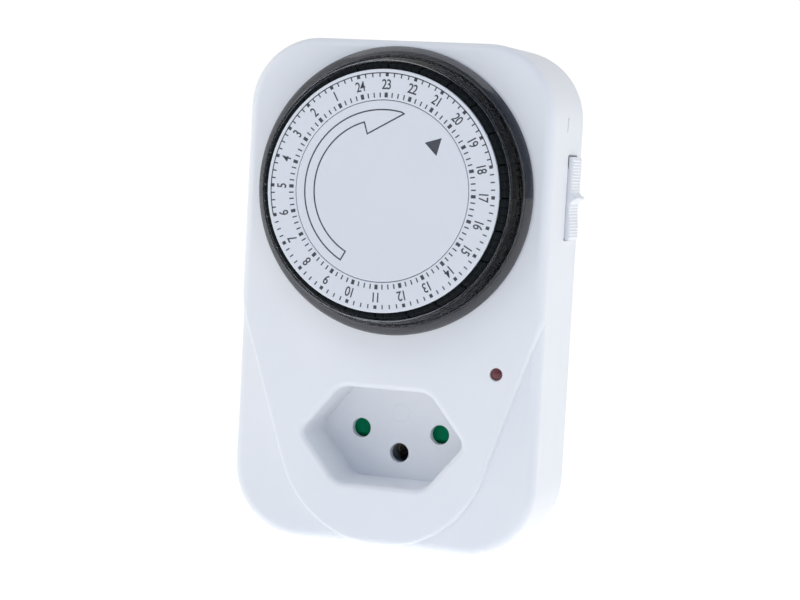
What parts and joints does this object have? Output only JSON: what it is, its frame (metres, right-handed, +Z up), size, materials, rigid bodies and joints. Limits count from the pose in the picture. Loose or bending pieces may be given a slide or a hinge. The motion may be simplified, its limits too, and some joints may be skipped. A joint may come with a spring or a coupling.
{
  "type": "plug-in timer switch",
  "caption": "Mechanical plug-in timer: white housing, dial ringed by push tappets, recessed pin socket with shutters, pilot lamp, side override switch and rear plug.",
  "frame": {"origin": "centre of the flat underside of the housing", "axes": "+X to the right seen from the front, +Y from the dial back towards the plug pins, +Z up"},
  "size_m": [0.0741, 0.0677, 0.1138],
  "materials": {
    "white_housing": "satin",
    "dial_white": "satin",
    "smoked_clear": "polished",
    "tappet_black": "satin",
    "shutter_green": "glossy",
    "lamp_red": "polished",
    "bulb_glass": "polished",
    "contact_brass": "bright",
    "sleeve_grey": "matte",
    "inner_grey": "matte",
    "gear_ivory": "satin",
    "spring_steel": "bright",
    "screw_steel": "zinc plated",
    "coil_copper": "enamelled",
    "magnet_dark": "matte"
  },
  "bodies": {
    "housing": {"front_housing": "white_housing", "socket_insert": "white_housing", "rear_cover": "white_housing", "housing_screws": "screw_steel", "line_pin": "contact_brass", "neutral_pin": "contact_brass", "earth_pin": "contact_brass", "pin_sleeves": "sleeve_grey", "line_strip": "contact_brass", "switched_strip": "contact_brass", "neutral_earth_strips": "contact_brass", "contact_carrier": "inner_grey", "shutter_spring": "spring_steel", "lamp_lens": "lamp_red", "neon_bulb": "bulb_glass", "centre_disc": "dial_white", "movement_plate": "inner_grey", "movement_cover": "inner_grey", "movement_screws": "screw_steel", "motor_can": "spring_steel", "motor_coil": "coil_copper", "gear_posts": "spring_steel", "switch_block": "inner_grey"},
    "dial": {"dial_carrier": "tappet_black", "scale_ring": "dial_white", "dial_skirt": "smoked_clear"},
    "drive": {"drive_pinion": "gear_ivory", "clutch_spring": "spring_steel"},
    "clutch": {"clutch_wheel": "gear_ivory"},
    "second": {"second_gear": "gear_ivory"},
    "first": {"first_gear": "gear_ivory"},
    "motor_rotor": {"rotor": "magnet_dark"},
    "safety_shutter": {"shutter": "shutter_green"},
    "override": {"override_slider": "white_housing"},
    "lever": {"follower_lever": "gear_ivory"},
    "blade": {"contact_blade": "contact_brass"},
    "tappets_hour_01_set": {"tappets_hour_01": "tappet_black"},
    "tappets_hour_02_set": {"tappets_hour_02": "tappet_black"},
    "tappets_hour_03_set": {"tappets_hour_03": "tappet_black"},
    "tappets_hour_04_set": {"tappets_hour_04": "tappet_black"},
    "tappets_hour_05_set": {"tappets_hour_05": "tappet_black"},
    "tappets_hour_06_set": {"tappets_hour_06": "tappet_black"},
    "tappets_hour_07_set": {"tappets_hour_07": "tappet_black"},
    "tappets_hour_08_set": {"tappets_hour_08": "tappet_black"},
    "tappets_hour_09_set": {"tappets_hour_09": "tappet_black"},
    "tappets_hour_10_set": {"tappets_hour_10": "tappet_black"},
    "tappets_hour_11_set": {"tappets_hour_11": "tappet_black"},
    "tappets_hour_12_set": {"tappets_hour_12": "tappet_black"},
    "tappets_hour_13_set": {"tappets_hour_13": "tappet_black"},
    "tappets_hour_14_set": {"tappets_hour_14": "tappet_black"},
    "tappets_hour_15_set": {"tappets_hour_15": "tappet_black"},
    "tappets_hour_16_set": {"tappets_hour_16": "tappet_black"},
    "tappets_hour_17_set": {"tappets_hour_17": "tappet_black"},
    "tappets_hour_18_set": {"tappets_hour_18": "tappet_black"},
    "tappets_hour_19_set": {"tappets_hour_19": "tappet_black"},
    "tappets_hour_20_set": {"tappets_hour_20": "tappet_black"},
    "tappets_hour_21_set": {"tappets_hour_21": "tappet_black"},
    "tappets_hour_22_set": {"tappets_hour_22": "tappet_black"},
    "tappets_hour_23_set": {"tappets_hour_23": "tappet_black"},
    "tappets_hour_24_set": {"tappets_hour_24": "tappet_black"}
  },
  "joints": [
    {"name": "dial_turn", "type": "hinge", "parent": "housing", "child": "dial", "pos_m": [0, -0.01375, 0.0803], "axis": [0, 1, 0], "continuous": true},
    {"name": "drive_turn", "type": "hinge", "parent": "housing", "child": "drive", "pos_m": [-0.01061, -0.01175, 0.06969], "axis": [0, 1, 0], "continuous": true},
    {"name": "rotor_turn", "type": "hinge", "parent": "housing", "child": "motor_rotor", "pos_m": [0.00649, -0.00175, 0.08239], "axis": [0, 1, 0], "continuous": true},
    {"name": "first_turn", "type": "hinge", "parent": "housing", "child": "first", "pos_m": [-0.00269, -0.00475, 0.08881], "axis": [0, 1, 0], "continuous": true},
    {"name": "second_turn", "type": "hinge", "parent": "housing", "child": "second", "pos_m": [-0.01061, -0.00275, 0.08089], "axis": [0, 1, 0], "continuous": true},
    {"name": "clutch_turn", "type": "hinge", "parent": "housing", "child": "clutch", "pos_m": [-0.01061, -0.00095, 0.06969], "axis": [0, 1, 0], "continuous": true},
    {"name": "override_slide", "type": "slide", "parent": "housing", "child": "override", "axis": [0, 0, 1], "range_m": [0, 0.0026]},
    {"name": "lever_rock", "type": "hinge", "parent": "housing", "child": "lever", "pos_m": [0.0265, -0.00555, 0.07], "axis": [-1, 0, 0], "range_deg": [0, 5]},
    {"name": "blade_flex", "type": "hinge", "parent": "housing", "child": "blade", "pos_m": [0.026, -0.0034, 0.068], "axis": [-1, 0, 0], "range_deg": [0, 4.6]},
    {"name": "shutter_lift", "type": "slide", "parent": "housing", "child": "safety_shutter", "axis": [0, 0, 1], "range_m": [0, 0.0051], "stiffness_N_per_m": 30, "springref_m": -0.003, "deforming": ["shutter_spring"]},
    {"name": "tappets_hour_01_press", "type": "slide", "parent": "dial", "child": "tappets_hour_01_set", "axis": [0, 1, 0], "range_m": [0, 0.003]},
    {"name": "tappets_hour_02_press", "type": "slide", "parent": "dial", "child": "tappets_hour_02_set", "axis": [0, 1, 0], "range_m": [0, 0.003]},
    {"name": "tappets_hour_03_press", "type": "slide", "parent": "dial", "child": "tappets_hour_03_set", "axis": [0, 1, 0], "range_m": [0, 0.003]},
    {"name": "tappets_hour_04_press", "type": "slide", "parent": "dial", "child": "tappets_hour_04_set", "axis": [0, 1, 0], "range_m": [0, 0.003]},
    {"name": "tappets_hour_05_press", "type": "slide", "parent": "dial", "child": "tappets_hour_05_set", "axis": [0, 1, 0], "range_m": [0, 0.003]},
    {"name": "tappets_hour_06_press", "type": "slide", "parent": "dial", "child": "tappets_hour_06_set", "axis": [0, 1, 0], "range_m": [0, 0.003]},
    {"name": "tappets_hour_07_press", "type": "slide", "parent": "dial", "child": "tappets_hour_07_set", "axis": [0, 1, 0], "range_m": [0, 0.003]},
    {"name": "tappets_hour_08_press", "type": "slide", "parent": "dial", "child": "tappets_hour_08_set", "axis": [0, 1, 0], "range_m": [0, 0.003]},
    {"name": "tappets_hour_09_press", "type": "slide", "parent": "dial", "child": "tappets_hour_09_set", "axis": [0, 1, 0], "range_m": [0, 0.003]},
    {"name": "tappets_hour_10_press", "type": "slide", "parent": "dial", "child": "tappets_hour_10_set", "axis": [0, 1, 0], "range_m": [0, 0.003]},
    {"name": "tappets_hour_11_press", "type": "slide", "parent": "dial", "child": "tappets_hour_11_set", "axis": [0, 1, 0], "range_m": [0, 0.003]},
    {"name": "tappets_hour_12_press", "type": "slide", "parent": "dial", "child": "tappets_hour_12_set", "axis": [0, 1, 0], "range_m": [0, 0.003]},
    {"name": "tappets_hour_13_press", "type": "slide", "parent": "dial", "child": "tappets_hour_13_set", "axis": [0, 1, 0], "range_m": [0, 0.003]},
    {"name": "tappets_hour_14_press", "type": "slide", "parent": "dial", "child": "tappets_hour_14_set", "axis": [0, 1, 0], "range_m": [0, 0.003]},
    {"name": "tappets_hour_15_press", "type": "slide", "parent": "dial", "child": "tappets_hour_15_set", "axis": [0, 1, 0], "range_m": [0, 0.003]},
    {"name": "tappets_hour_16_press", "type": "slide", "parent": "dial", "child": "tappets_hour_16_set", "axis": [0, 1, 0], "range_m": [0, 0.003]},
    {"name": "tappets_hour_17_press", "type": "slide", "parent": "dial", "child": "tappets_hour_17_set", "axis": [0, 1, 0], "range_m": [0, 0.003]},
    {"name": "tappets_hour_18_press", "type": "slide", "parent": "dial", "child": "tappets_hour_18_set", "axis": [0, 1, 0], "range_m": [0, 0.003]},
    {"name": "tappets_hour_19_press", "type": "slide", "parent": "dial", "child": "tappets_hour_19_set", "axis": [0, 1, 0], "range_m": [0, 0.003]},
    {"name": "tappets_hour_20_press", "type": "slide", "parent": "dial", "child": "tappets_hour_20_set", "axis": [0, 1, 0], "range_m": [0, 0.003]},
    {"name": "tappets_hour_21_press", "type": "slide", "parent": "dial", "child": "tappets_hour_21_set", "axis": [0, 1, 0], "range_m": [0, 0.003]},
    {"name": "tappets_hour_22_press", "type": "slide", "parent": "dial", "child": "tappets_hour_22_set", "axis": [0, 1, 0], "range_m": [0, 0.003]},
    {"name": "tappets_hour_23_press", "type": "slide", "parent": "dial", "child": "tappets_hour_23_set", "axis": [0, 1, 0], "range_m": [0, 0.003]},
    {"name": "tappets_hour_24_press", "type": "slide", "parent": "dial", "child": "tappets_hour_24_set", "axis": [0, 1, 0], "range_m": [0, 0.003]}
  ],
  "couplings": [
    {"joint": "drive_turn", "follows": "dial_turn", "ratio": 6},
    {"joint": "first_turn", "follows": "rotor_turn", "ratio": -0.16667},
    {"joint": "second_turn", "follows": "rotor_turn", "ratio": 0.027778},
    {"joint": "clutch_turn", "follows": "rotor_turn", "ratio": -0.0046296},
    {"joint": "lever_rock", "follows": "override_slide", "rad_per_m": 33.564},
    {"joint": "blade_flex", "follows": "override_slide", "rad_per_m": 30.879}
  ]
}
